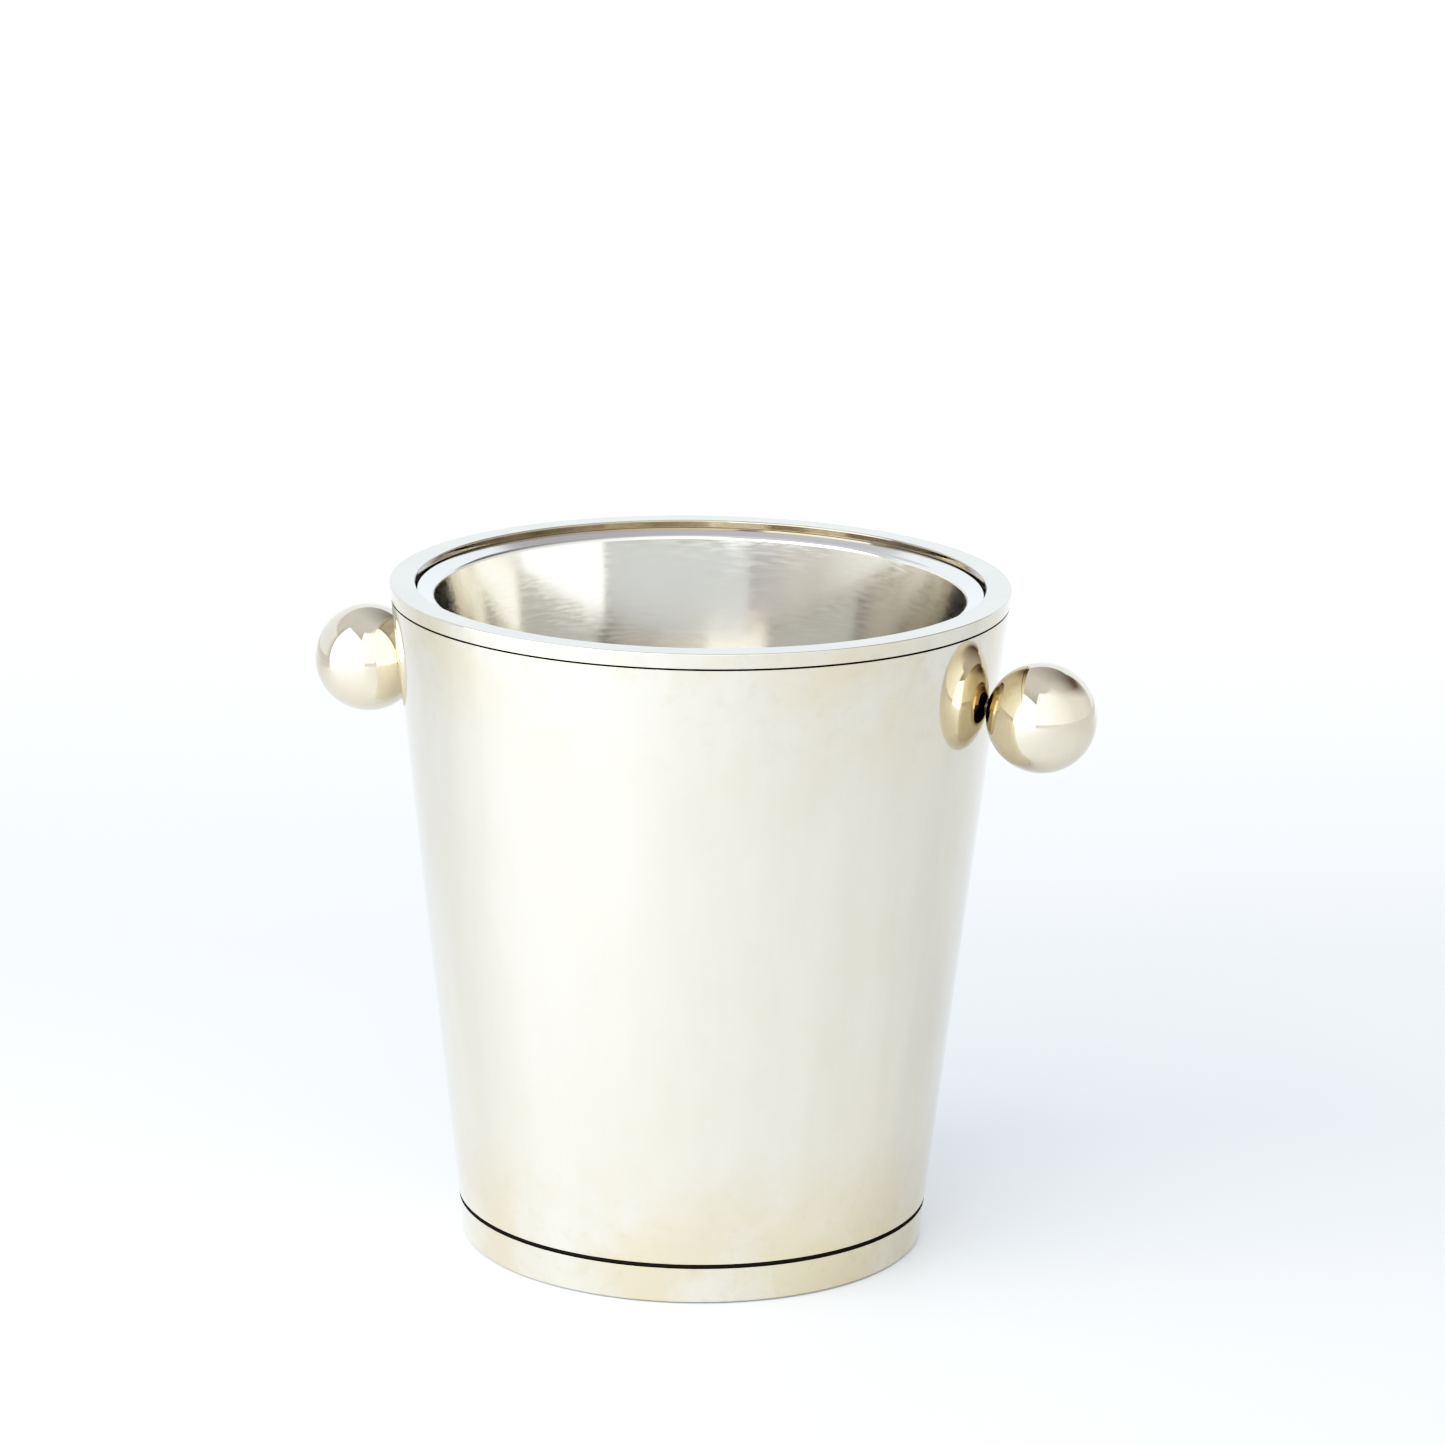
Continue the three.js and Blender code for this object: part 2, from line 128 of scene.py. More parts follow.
# The full sphere of a ball would just touch the wall; a small flat bears on it.
HANDLE_HEIGHT = 235.6
BALL_RADIUS = 22.5
BALL_FLAT_RADIUS = 4.2
BALL_FLAT = BALL_RADIUS - sqrt(BALL_RADIUS ** 2 - BALL_FLAT_RADIUS ** 2)
BALL_ARC_STEPS = 90
STUD_RADIUS = 3
STUD_PITCH = 1
STUD_IN_BALL = 18
STUD_TIP = 1.5
SADDLE_RADIUS = 16
SADDLE_THICKNESS = 2
SADDLE_EDGE = 0.3
SADDLE_STEPS = 6
SPRING_WASHER_RADIUS = 5.9
SPRING_WASHER_THICKNESS = 1.6
SPRING_WASHER_GAP = 0.35
# How far the split leans over, as an angle round the washer, and the steps round it.
SPRING_WASHER_LEAN = 0.12
SPRING_WASHER_STEPS = 48
STUD_NUT_ACROSS_FLATS = 10
STUD_NUT_HEIGHT = 5
# A thread's depth in pitches, and how finely it is made.
THREAD_DEPTH = 0.6
THREAD_STEPS = 6
THREAD_SIDES = 24
# A nut's flat end face as a share of the width across flats, its chamfer, and its bore's countersink.
NUT_SIDES = 72
NUT_FACE_SHARE = 0.95
NUT_CHAMFER = radians(30)
NUT_SINK = 0.3
NUT_PLAY = 0.05

# Sides round a turned piece, and the angle between an arc's points.
BODY_SIDES = 256
HANDLE_SIDES = 128
ARC_STEP = radians(9)
# Steps round a small edge made ring by ring.
EDGE_STEPS = 4
SHARP_ANGLE = radians(30)

# ---- Heights and radii that follow ----

SHELL_WALL_ACROSS = SHELL_WALL / cos(CONE_ANGLE)
LINER_WALL_ACROSS = LINER_WALL / cos(CONE_ANGLE)
FLANGE_SLOPE = (FLANGE_TOP - WELL_TOP) / (FLANGE_RADIUS - WELL_RADIUS)
FLANGE_UNDERSIDE = FLANGE_TOP - FLANGE_THICKNESS * hypot(1, FLANGE_SLOPE)
BASE_SHOULDER = SHELL_BOTTOM - CLEARANCE
BASE_LEDGE_UNDERSIDE = BASE_SHOULDER - BASE_LEDGE_THICKNESS
PLATE_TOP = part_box("base_plate")[1].z / MM
SADDLE_FACE = -SHELL_WALL - SADDLE_THICKNESS
SPRING_WASHER_PLACE = SADDLE_FACE - SPRING_WASHER_THICKNESS - CLEARANCE
STUD_NUT_PLACE = SPRING_WASHER_PLACE - STUD_NUT_HEIGHT - CLEARANCE


def cone_radius(z):
    return FOOT_RADIUS + CONE_SLOPE * z


def well_radius(z):
    return WELL_RADIUS - CONE_SLOPE * (WELL_TOP - z)


def neck_radius(z):
    return cone_radius(z) - SHELL_WALL_ACROSS - CLEARANCE


# ---- Mesh helpers ----

def skin(name, rings, normals=None, closed=False, matrix=None):
    """A mesh through rings of points; a ring of one point is a pole. Millimetres in, metres out."""
    matrix = matrix or Matrix()
    turn = matrix.to_3x3()
    starts = []
    points = []
    for ring in rings:
        starts.append(len(points))
        points += [matrix @ point * MM for point in ring]
    count = max(len(ring) for ring in rings)
    faces = []
    for i in range(len(rings) if closed else len(rings) - 1):
        k = (i + 1) % len(rings)
        for j in range(count):
            corners = []
            for row, column in ((i, j), (i, j + 1), (k, j + 1), (k, j)):
                corner = starts[row] + column % len(rings[row])
                if corner not in corners:
                    corners.append(corner)
            faces.append(corners)
    mesh = bpy.data.meshes.new(name)
    mesh.from_pydata(points, [], faces, shade_flat=False)
    if normals:
        flat = [(turn @ normal).normalized() for ring in normals for normal in ring]
        mesh.normals_split_custom_set_from_vertices(flat)
    return mesh


def rounded_corner(before, corner, after, step):
    """Points and outward normals of the arc that rounds a corner (r, z, radius)."""
    at = Vector(corner[:2])
    radius = corner[2]
    way_in = (at - Vector(before[:2])).normalized()
    way_out = (Vector(after[:2]) - at).normalized()
    turn = atan2(way_in.cross(way_out), way_in.dot(way_out))
    side = copysign(radius, turn)
    start = at - way_in * radius * tan(abs(turn) / 2)
    heading = atan2(-way_in.x, way_in.y)
    centre = start - side * Vector((cos(heading), sin(heading)))
    steps = max(2, ceil(abs(turn) / step))
    for i in range(steps + 1):
        angle = heading + turn * i / steps
        normal = Vector((cos(angle), sin(angle)))
        yield centre + side * normal, normal


def outline(corners, step=ARC_STEP):
    """A section as points and normals, from (r, z, radius) corners, anticlockwise as (r, z)."""
    section = []
    for i, corner in enumerate(corners):
        before = corners[i - 1]
        after = corners[(i + 1) % len(corners)]
        if len(corner) == 3:
            section += rounded_corner(before, corner, after, step)
        else:
            # A point on the axis: its normal is along the axis, away from the section.
            upward = corner[1] > min(c[1] for c in corners if c[0] == 0)
            section.append((Vector(corner), Vector((0, 1 if upward else -1))))
    return section


def turned(name, section, sides=BODY_SIDES, closed=True, matrix=None):
    """A section turned round the Z axis, with the section's own normals."""
    rings = []
    normals = []
    for point, normal in section:
        on_axis = abs(point.x) < 1e-9
        angles = [0] if on_axis else [tau * j / sides for j in range(sides)]
        rings.append([Vector((point.x * cos(a), point.x * sin(a), point.y)) for a in angles])
        normals.append([Vector((normal.x * cos(a), normal.x * sin(a), normal.y)) for a in angles])
    return skin(name, rings, normals, closed, matrix)


def sharpen(mesh):
    mesh.set_sharp_from_angle(angle=SHARP_ANGLE)
    return mesh


def round_ring(sides, radius_at, z_at):
    """A ring of points whose radius and height are functions of the angle."""
    ring = []
    for j in range(sides):
        angle = tau * j / sides
        radius = radius_at(angle)
        ring.append(Vector((radius * cos(angle), radius * sin(angle), z_at(angle))))
    return ring


def circle(radius, z, sides):
    return round_ring(sides, lambda angle: radius, lambda angle: z)


# ---- Pieces ----

def in_groove(point):
    """Whether a point, in millimetres, is in a shadow groove or the narrow gap behind it."""
    depth = cone_radius(point.z) - hypot(point.x, point.y)
    in_base_groove = -GROOVE_SHADE_PASSES < point.z - BASE_BAND_TOP and point.z - SHELL_BOTTOM < GROOVE_SHADE_PASSES
    in_rim_groove = (COLLAR_SKIRT_BOTTOM - GROOVE_SHADE_BELOW_SKIRT < point.z
                     and point.z - RIM_BAND_BOTTOM < GROOVE_SHADE_PASSES)
    return GROOVE_SHADE_START < depth < GROOVE_SHADE_END and (in_base_groove or in_rim_groove)


def in_recess(point):
    """Whether a point, in millimetres, is on the collar's inner wall, round the liner's flange."""
    inside = hypot(point.x, point.y) < COLLAR_MOUTH + RIM_INNER_EDGE / 4
    return inside and COLLAR_SEAT < point.z < HEIGHT


def on_band(point):
    """Whether a point, in millimetres, is on the collar's outer band, which is flush with the wall."""
    outside = hypot(point.x, point.y) > COLLAR_MOUTH + RIM_TOP_WIDTH / 2
    return outside and RIM_BAND_BOTTOM < point.z < HEIGHT - RIM_OUTER_EDGE


def finish_faces(mesh, material, chosen):
    """Gives the faces whose centres are chosen another material."""
    mesh.materials.append(material)
    for face in mesh.polygons:
        if chosen(face.center / MM):
            face.material_index = len(mesh.materials) - 1


def place(mesh, node, slot, material, body="bucket"):
    """Puts a finished mesh in the scene in place of its CAD node."""
    mesh.materials.append(material)
    piece = bpy.data.objects.new(f"{node}_finished", mesh)
    bpy.context.scene.collection.objects.link(piece)
    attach(piece, body)
    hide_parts(node)
    return piece


def rim_collar_section():
    seat_underside = COLLAR_SEAT - COLLAR_SEAT_THICKNESS
    return outline([
        (neck_radius(COLLAR_SKIRT_BOTTOM) - COLLAR_SKIRT, COLLAR_SKIRT_BOTTOM, HIDDEN_EDGE),
        (neck_radius(COLLAR_SKIRT_BOTTOM), COLLAR_SKIRT_BOTTOM, HIDDEN_EDGE),
        (neck_radius(RIM_BAND_BOTTOM), RIM_BAND_BOTTOM, GROOVE_CORNER),
        (cone_radius(RIM_BAND_BOTTOM), RIM_BAND_BOTTOM, GROOVE_EDGE),
        (RIM_RADIUS, HEIGHT, RIM_OUTER_EDGE),
        (COLLAR_MOUTH, HEIGHT, RIM_INNER_EDGE),
        (COLLAR_MOUTH, COLLAR_SEAT, SEAT_CORNER),
        (COLLAR_BORE, COLLAR_SEAT, HIDDEN_EDGE),
        (COLLAR_BORE, seat_underside, HIDDEN_EDGE),
        (neck_radius(seat_underside) - COLLAR_SKIRT, seat_underside, HIDDEN_EDGE),
    ])


def outer_shell_section():
    inside_bottom = SHELL_BOTTOM + SHELL_WALL
    return outline([
        (BOTTOM_OPENING, SHELL_BOTTOM, HIDDEN_EDGE),
        (cone_radius(SHELL_BOTTOM), SHELL_BOTTOM, SHELL_CORNER),
        (cone_radius(SHELL_TOP), SHELL_TOP, GROOVE_EDGE),
        (cone_radius(SHELL_TOP) - SHELL_WALL_ACROSS, SHELL_TOP, HIDDEN_EDGE),
        (cone_radius(inside_bottom) - SHELL_WALL_ACROSS, inside_bottom, HIDDEN_EDGE),
        (BOTTOM_OPENING, inside_bottom, HIDDEN_EDGE),
    ])


def liner_section():
    underside = LINER_FLOOR - LINER_WALL
    # Where the flange's underside meets the wall's outside.
    outside = well_radius(FLANGE_UNDERSIDE) + LINER_WALL_ACROSS
    junction = FLANGE_UNDERSIDE - FLANGE_SLOPE * (FLANGE_RADIUS - outside)
    return outline([
        (0, underside),
        (well_radius(underside) + LINER_WALL_ACROSS, underside, LINER_FLOOR_CORNER + LINER_WALL),
        (well_radius(junction) + LINER_WALL_ACROSS, junction, WELL_LIP / 2),
        (FLANGE_RADIUS, FLANGE_UNDERSIDE, HIDDEN_EDGE),
        (FLANGE_RADIUS, FLANGE_TOP, FLANGE_EDGE),
        (WELL_RADIUS, WELL_TOP, WELL_LIP),
        (well_radius(LINER_FLOOR), LINER_FLOOR, LINER_FLOOR_CORNER),
        (0, LINER_FLOOR),
    ])


def liner_gasket_section():
    bottom = COLLAR_SEAT
    outer_top = FLANGE_UNDERSIDE
    inner_top = outer_top - FLANGE_SLOPE * (FLANGE_RADIUS - GASKET_INNER)
    return outline([
        (GASKET_INNER, bottom, GASKET_EDGE),
        (GASKET_OUTER, bottom, GASKET_EDGE),
        (GASKET_OUTER, outer_top, GASKET_EDGE),
        (GASKET_INNER, inner_top, GASKET_EDGE),
    ])


def base_ring_section():
    recess_top = COVER_TOP + CLEARANCE
    return outline([
        (COVER_RECESS, BASE_RING_BOTTOM, HIDDEN_EDGE),
        (cone_radius(BASE_RING_BOTTOM), BASE_RING_BOTTOM, BASE_TOE_EDGE),
        (cone_radius(BASE_BAND_TOP), BASE_BAND_TOP, GROOVE_EDGE),
        (BASE_GROOVE_RADIUS, BASE_BAND_TOP, GROOVE_CORNER),
        (BASE_GROOVE_RADIUS, BASE_SHOULDER, GROOVE_CORNER),
        (BOTTOM_OPENING, BASE_SHOULDER, HIDDEN_EDGE),
        (BOTTOM_OPENING, BASE_LEDGE_UNDERSIDE, HIDDEN_EDGE),
        (BASE_RING_BORE, BASE_LEDGE_UNDERSIDE, HIDDEN_EDGE),
        (BASE_RING_BORE, recess_top, HIDDEN_EDGE),
        (COVER_RECESS, recess_top, HIDDEN_EDGE),
    ])


def disc_section(node, edge):
    """A disc with rounded edges, as large as its CAD node."""
    low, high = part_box(node)
    radius = high.x / MM
    bottom = low.z / MM
    top = high.z / MM
    return outline([(0, bottom), (radius, bottom, edge), (radius, top, edge), (0, top)])


# ---- Fasteners ----

def thread_radius(radius, pitch, angle, z):
    """A V thread's radius; its crest is at the given radius."""
    phase = (z / pitch - angle / tau) % 1
    return radius - THREAD_DEPTH * pitch * abs(2 * phase - 1)


def threaded_rings(radius, pitch, bottom, top):
    """Rings up a threaded rod, with a chamfered tip at each end."""
    core = radius - THREAD_DEPTH * pitch
    steps = round((top - bottom) / pitch * THREAD_STEPS)
    rings = [[Vector((0, 0, bottom))], circle(core, bottom, THREAD_SIDES)]
    for i in range(1, steps):
        z = bottom + (top - bottom) * i / steps
        tip = core + min(z - bottom, top - z)
        rings.append(round_ring(
            THREAD_SIDES,
            lambda angle: min(tip, thread_radius(radius, pitch, angle, z)),
            lambda angle: z,
        ))
    return rings + [circle(core, top, THREAD_SIDES), [Vector((0, 0, top))]]


def hexagon_radius(across_flats, angle):
    sixth = tau / 6
    return across_flats / 2 / cos((angle % sixth) - sixth / 2)


def hex_nut(name, across_flats, height, bore, matrix):
    """A hexagon nut standing on z = 0, its corners turned off at both ends."""
    face_radius = across_flats / 2 * NUT_FACE_SHARE

    def side(angle):
        return hexagon_radius(across_flats, angle)

    def drop(angle):
        return (side(angle) - face_radius) * tan(NUT_CHAMFER)

    rings = [
        circle(bore + NUT_SINK, 0, NUT_SIDES),
        circle(face_radius, 0, NUT_SIDES),
        round_ring(NUT_SIDES, side, drop),
        round_ring(NUT_SIDES, side, lambda angle: height - drop(angle)),
        circle(face_radius, height, NUT_SIDES),
        circle(bore + NUT_SINK, height, NUT_SIDES),
        circle(bore, height - NUT_SINK, NUT_SIDES),
        circle(bore, NUT_SINK, NUT_SIDES),
    ]
    return sharpen(skin(name, rings, closed=True, matrix=matrix))


def base_screw(name, matrix):
    """A pan head screw with a hexagon socket, pointing up."""
    sides = THREAD_SIDES
    head_top = BASE_LEDGE_UNDERSIDE - CLEARANCE / 2
    head_bottom = head_top - BASE_HEAD_HEIGHT
    tip = PLATE_TOP + CLEARANCE + BASE_NUT_HEIGHT + SCREW_TIP
    socket_top = head_bottom + BASE_SOCKET_DEPTH

    def socket(z):
        across_flats = 2 * BASE_SOCKET_RADIUS * cos(tau / 12)
        return round_ring(sides, lambda angle: hexagon_radius(across_flats, angle), lambda angle: z)

    rings = [[Vector((0, 0, socket_top))], socket(socket_top), socket(head_bottom)]
    for i in range(EDGE_STEPS + 1):
        angle = pi / 2 * i / EDGE_STEPS
        radius = BASE_HEAD_RADIUS - BASE_HEAD_EDGE + BASE_HEAD_EDGE * sin(angle)
        rings.append(circle(radius, head_bottom + BASE_HEAD_EDGE * (1 - cos(angle)), sides))
    rings.append(circle(BASE_HEAD_RADIUS, head_top, sides))
    rings += threaded_rings(BASE_SCREW_RADIUS, BASE_SCREW_PITCH, head_top, tip)[1:]
    return sharpen(skin(name, rings, matrix=matrix))


def spring_washer(name, matrix):
    """A split ring on z = 0, its ends cut on a slant."""
    inner = STUD_RADIUS + CLEARANCE
    outer = SPRING_WASHER_RADIUS
    top = SPRING_WASHER_THICKNESS
    gap = SPRING_WASHER_GAP / outer
    section = [(inner, top), (outer, top), (outer, 0), (inner, 0)]
    rings = []
    for i in range(SPRING_WASHER_STEPS + 1):
        ring = []
        for r, z in section:
            lean = SPRING_WASHER_LEAN * (z / top - 0.5)
            angle = gap + lean + (tau - 2 * gap) * i / SPRING_WASHER_STEPS
            ring.append(Vector((r * cos(angle), r * sin(angle), z)))
        rings.append(ring)
    first = sum(rings[0], Vector()) / len(section)
    last = sum(rings[-1], Vector()) / len(section)
    return sharpen(skin(name, [[first], *rings, [last]], matrix=matrix))


# ---- Handle pieces, on the stud's axis: +Z leaves the wall, and z = 0 is the wall's surface ----

def handle_matrix(side):
    place_out = Matrix.Translation(Vector((cone_radius(HANDLE_HEIGHT), 0, HANDLE_HEIGHT)))
    lean = Matrix.Rotation(pi / 2 + CONE_ANGLE, 4, "Y")
    return Matrix.Rotation(pi * side, 4, "Z") @ place_out @ lean


def wall_height(x, y, outwards):
    """The wall's surface over a point of the handle's frame, moved out by a distance."""
    c = cos(CONE_ANGLE)
    s = sin(CONE_ANGLE)
    radius = cone_radius(HANDLE_HEIGHT) - s * x
    moved = radius + outwards / c
    rise = s * s / c
    a = c * c - rise * rise
    half_b = radius * c + moved * rise
    return (sqrt(half_b ** 2 - a * (radius ** 2 - moved ** 2 + y * y)) - half_b) / a


def saddle_washer(name, matrix):
    """The washer inside the wall: flat for the nut, curved for the wall, with rounded outer edges."""
    bore = STUD_RADIUS + CLEARANCE
    flat_radius = SADDLE_RADIUS - SADDLE_EDGE

    def nut_side(x, y):
        return SADDLE_FACE

    def wall_side(x, y):
        return wall_height(x, y, -SHELL_WALL)

    def ring(surface, radius, lift=0):
        return [Vector((p.x, p.y, surface(p.x, p.y) + lift)) for p in circle(radius, 0, HANDLE_SIDES)]

    def edge_ring(surface, angle, side):
        radius = flat_radius + SADDLE_EDGE * cos(angle)
        return ring(surface, radius, side * SADDLE_EDGE * (1 - sin(angle)))

    flats = [bore + (flat_radius - bore) * i / SADDLE_STEPS for i in range(SADDLE_STEPS + 1)]
    turns = [pi / 2 * i / EDGE_STEPS for i in range(EDGE_STEPS)]
    rings = [ring(nut_side, radius) for radius in flats]
    rings += [edge_ring(nut_side, angle, 1) for angle in reversed(turns)]
    rings += [edge_ring(wall_side, angle, -1) for angle in turns]
    rings += [ring(wall_side, radius) for radius in reversed(flats)]
    return sharpen(skin(name, rings, closed=True, matrix=matrix))


def ball(name, matrix):
    """The ball on its small flat, with the stud's blind bore."""
    flat_angle = asin(BALL_FLAT_RADIUS / BALL_RADIUS)
    bore = STUD_RADIUS + CLEARANCE
    bore_end = BALL_FLAT + STUD_IN_BALL + CLEARANCE
    down = Vector((0, -1))
    inward = Vector((-1, 0))
    section = [
        (Vector((0, bore_end)), down),
        (Vector((bore, bore_end)), down),
        (Vector((bore, bore_end)), inward),
        (Vector((bore, BALL_FLAT)), inward),
        (Vector((bore, BALL_FLAT)), down),
        (Vector((BALL_FLAT_RADIUS, BALL_FLAT)), down),
    ]
    for i in range(BALL_ARC_STEPS):
        angle = flat_angle + (pi - flat_angle) * i / BALL_ARC_STEPS
        normal = Vector((sin(angle), -cos(angle)))
        section.append((Vector((0, BALL_RADIUS)) + BALL_RADIUS * normal, normal))
    section.append((Vector((0, 2 * BALL_RADIUS)), Vector((0, 1))))
    return turned(name, section, HANDLE_SIDES, closed=False, matrix=matrix)


# ---- Materials ----

# Polished silver, from freshly wiped to spotted, as linear colours, and each part's tint over them.
BRIGHT_SILVER = (0.69, 0.63, 0.51)
RUBBED_SILVER = (0.63, 0.575, 0.455)
AGED_SILVER = (0.61, 0.515, 0.335)
SPOTTED_SILVER = (0.50, 0.43, 0.29)
RIM_TINT = (0.87, 0.865, 0.865)
FOOT_TINT = (0.96, 0.96, 0.965)
# The recess's tint is painted shade: it darkens the collar's inner wall round the liner's flange.
RECESS_SHADE = (0.55, 0.50, 0.48)
BALL_TINT = (0.97, 0.915, 0.835)
# The heights between which tarnish grows, towards the foot and the rim, and how strong it gets.
FOOT_TARNISH = (62, 18)
RIM_TARNISH = (215, 268)
RIM_TARNISH_STRENGTH = 0.8
# The rim's flat top is wiped clean above these heights, but for a trace.
WIPED_RIM = (277, 277.4)
WIPED_TRACE = 0.1
# Where clouds and specks of tarnish start and are full in their noise, and how strong specks are.
CLOUD_EDGE = (0.42, 0.56)
SPECK_EDGE = (0.52, 0.74)
SPECK_STRENGTH = 0.6
# A rubbing mark's width as a share of its length up the wall.
RUBBING_STRETCH = 0.12
# How deep polishing leaves its turning marks, in metres.
POLISHING_DEPTH = 1.5e-7
# Spun steel's darker patches, as a share of its colour.
HAZED_STEEL = 0.9
# Most of a noise's values lie between these.
NOISE_RANGE = (0.3, 0.7)


def add_node(tree, kind, inputs=None, **settings):
    """Adds a node; an input is given a value or another node's socket."""
    node = tree.nodes.new(kind)
    for key, value in settings.items():
        setattr(node, key, value)
    for key, value in (inputs or {}).items():
        if isinstance(value, bpy.types.NodeSocket):
            tree.links.new(value, node.inputs[key])
        else:
            node.inputs[key].default_value = value
    return node


def new_material(name, **uniform):
    """A material and its shader, with uniform values set on the shader's own sockets."""
    material = bpy.data.materials.new(name)
    material.use_nodes = True
    shader = material.node_tree.nodes["Principled BSDF"]
    for key, value in uniform.items():
        shader.inputs[key.replace("_", " ")].default_value = value
    return material, shader, material.node_tree


def noise(tree, vector, scale, detail=3, roughness=0.5):
    inputs = {"Vector": vector, "Scale": scale, "Detail": detail, "Roughness": roughness}
    return add_node(tree, "ShaderNodeTexNoise", inputs).outputs["Fac"]


def remap(tree, value, low, high, to_low, to_high):
    inputs = {"Value": value, "From Min": low, "From Max": high, "To Min": to_low, "To Max": to_high}
    return add_node(tree, "ShaderNodeMapRange", inputs).outputs["Result"]


def maths(tree, operation, *values):
    return add_node(tree, "ShaderNodeMath", dict(enumerate(values)), operation=operation).outputs[0]


def multiply(tree, first, second):
    return maths(tree, "MULTIPLY", first, second)


def measure(tree, operation, *vectors):
    """A number from vectors: a dot product, a length or a distance."""
    node = add_node(tree, "ShaderNodeVectorMath", dict(enumerate(vectors)), operation=operation)
    return node.outputs["Value"]


def stretch(tree, vector, scales):
    node = add_node(tree, "ShaderNodeVectorMath", {0: vector, 1: scales}, operation="MULTIPLY")
    return node.outputs["Vector"]


def blend_colour(tree, factor, first, second):
    node = add_node(tree, "ShaderNodeMix", {"Factor": factor}, data_type="RGBA")
    for socket, value in ((node.inputs[6], first), (node.inputs[7], second)):
        if isinstance(value, bpy.types.NodeSocket):
            tree.links.new(value, socket)
        else:
            socket.default_value = (*value, 1)
    return node.outputs[2]


def bump(tree, height, distance, normal=None):
    inputs = {"Height": height, "Distance": distance, "Strength": 1}
    if normal:
        inputs["Normal"] = normal
    return add_node(tree, "ShaderNodeBump", inputs).outputs["Normal"]


def turning_marks(tree, place, across=1500, along=9):
    """Fine lines round the Z axis, as left by turning and polishing on a lathe."""
    split = add_node(tree, "ShaderNodeSeparateXYZ", {"Vector": place})
    x, y, z = (split.outputs[axis] for axis in "XYZ")
    along_angle = multiply(tree, maths(tree, "ARCTAN2", y, x), along / across)
    radius = measure(tree, "LENGTH", stretch(tree, place, (1, 1, 0)))
    vector = add_node(tree, "ShaderNodeCombineXYZ", {"X": along_angle, "Y": radius, "Z": z})
    return noise(tree, vector.outputs[0], scale=across, detail=2)


def tarnish_at(tree, place, everywhere):
    """How much tarnish there is by height: most near the foot and the rim."""
    height = add_node(tree, "ShaderNodeSeparateXYZ", {"Vector": place}).outputs["Z"]
    near_foot = remap(tree, height, *(z * MM for z in FOOT_TARNISH), 0, 1)
    near_rim = remap(tree, height, *(z * MM for z in RIM_TARNISH), 0, RIM_TARNISH_STRENGTH)
    amount = remap(tree, maths(tree, "MAXIMUM", near_foot, near_rim), 0, 1, everywhere, 1)
    return multiply(tree, amount, remap(tree, height, *(z * MM for z in WIPED_RIM), 1, WIPED_TRACE))


def silver_colour(tree, place, tarnish, everywhere, tint):
    """Silver with long rubbing marks up and down, and clouds and specks of tarnish."""
    amount = tarnish_at(tree, place, everywhere)
    clouds = noise(tree, place, scale=20, detail=6, roughness=0.62)
    specks = noise(tree, place, scale=150, detail=4, roughness=0.65)
    cloud_mask = multiply(tree, remap(tree, clouds, *CLOUD_EDGE, 0, tarnish), amount)
    speck_mask = multiply(tree, remap(tree, specks, *SPECK_EDGE, 0, tarnish * SPECK_STRENGTH), amount)
    rubbing = noise(tree, stretch(tree, place, (1, 1, RUBBING_STRETCH)), scale=45, detail=4, roughness=0.6)
    bright, rubbed, aged, spotted = (
        tuple(map(mul, tint, colour))
        for colour in (BRIGHT_SILVER, RUBBED_SILVER, AGED_SILVER, SPOTTED_SILVER)
    )
    clean = blend_colour(tree, remap(tree, rubbing, 0.35, 0.65, 0, 1), bright, rubbed)
    return blend_colour(tree, speck_mask, blend_colour(tree, cloud_mask, clean, aged), spotted)


def polished_silver(name, tarnish, everywhere, tint=(1, 1, 1), waviness=4e-5):
    """Nickel silver polished to a mirror, slightly wavy, with faint haze and turning marks."""
    material, shader, tree = new_material(name, Metallic=1)
    place = add_node(tree, "ShaderNodeTexCoord").outputs["Object"]
    tree.links.new(silver_colour(tree, place, tarnish, everywhere, tint), shader.inputs["Base Color"])
    lines = turning_marks(tree, place)
    haze = noise(tree, place, scale=35, detail=5, roughness=0.6)
    roughness = remap(tree, haze, 0.35, 0.7, 0.035, 0.075)
    tree.links.new(roughness, shader.inputs["Roughness"])
    swell = noise(tree, place, scale=13, detail=1)
    surface = bump(tree, lines, POLISHING_DEPTH, bump(tree, swell, waviness))
    tree.links.new(surface, shader.inputs["Normal"])
    return material


def spun_steel(name, colour, roughness_low, roughness_high, line_depth):
    """Bright steel with the fine rings left by spinning."""
    material, shader, tree = new_material(name, Metallic=1)
    place = add_node(tree, "ShaderNodeTexCoord").outputs["Object"]
    lines = turning_marks(tree, place, across=900, along=14)
    haze = noise(tree, place, scale=28, detail=4, roughness=0.6)
    shade = tuple(part * HAZED_STEEL for part in colour)
    tree.links.new(blend_colour(tree, haze, colour, shade), shader.inputs["Base Color"])
    roughness = remap(tree, lines, *NOISE_RANGE, roughness_low, roughness_high)
    tree.links.new(roughness, shader.inputs["Roughness"])
    swell = noise(tree, place, scale=20, detail=1)
    surface = bump(tree, lines, line_depth, bump(tree, swell, 3e-5))
    tree.links.new(surface, shader.inputs["Normal"])
    return material


def plain_steel():
    """Zinc-plated fasteners: dull, slightly blotchy."""
    material, shader, tree = new_material("plain_steel", Metallic=1)
    place = add_node(tree, "ShaderNodeTexCoord").outputs["Object"]
    blotches = noise(tree, place, scale=220, detail=4, roughness=0.6)
    colour = blend_colour(tree, blotches, (0.60, 0.60, 0.58), (0.42, 0.43, 0.43))
    tree.links.new(colour, shader.inputs["Base Color"])
    tree.links.new(remap(tree, blotches, *NOISE_RANGE, 0.26, 0.42), shader.inputs["Roughness"])
    grain = noise(tree, place, scale=1400, detail=3)
    tree.links.new(bump(tree, grain, 8e-6), shader.inputs["Normal"])
    return material


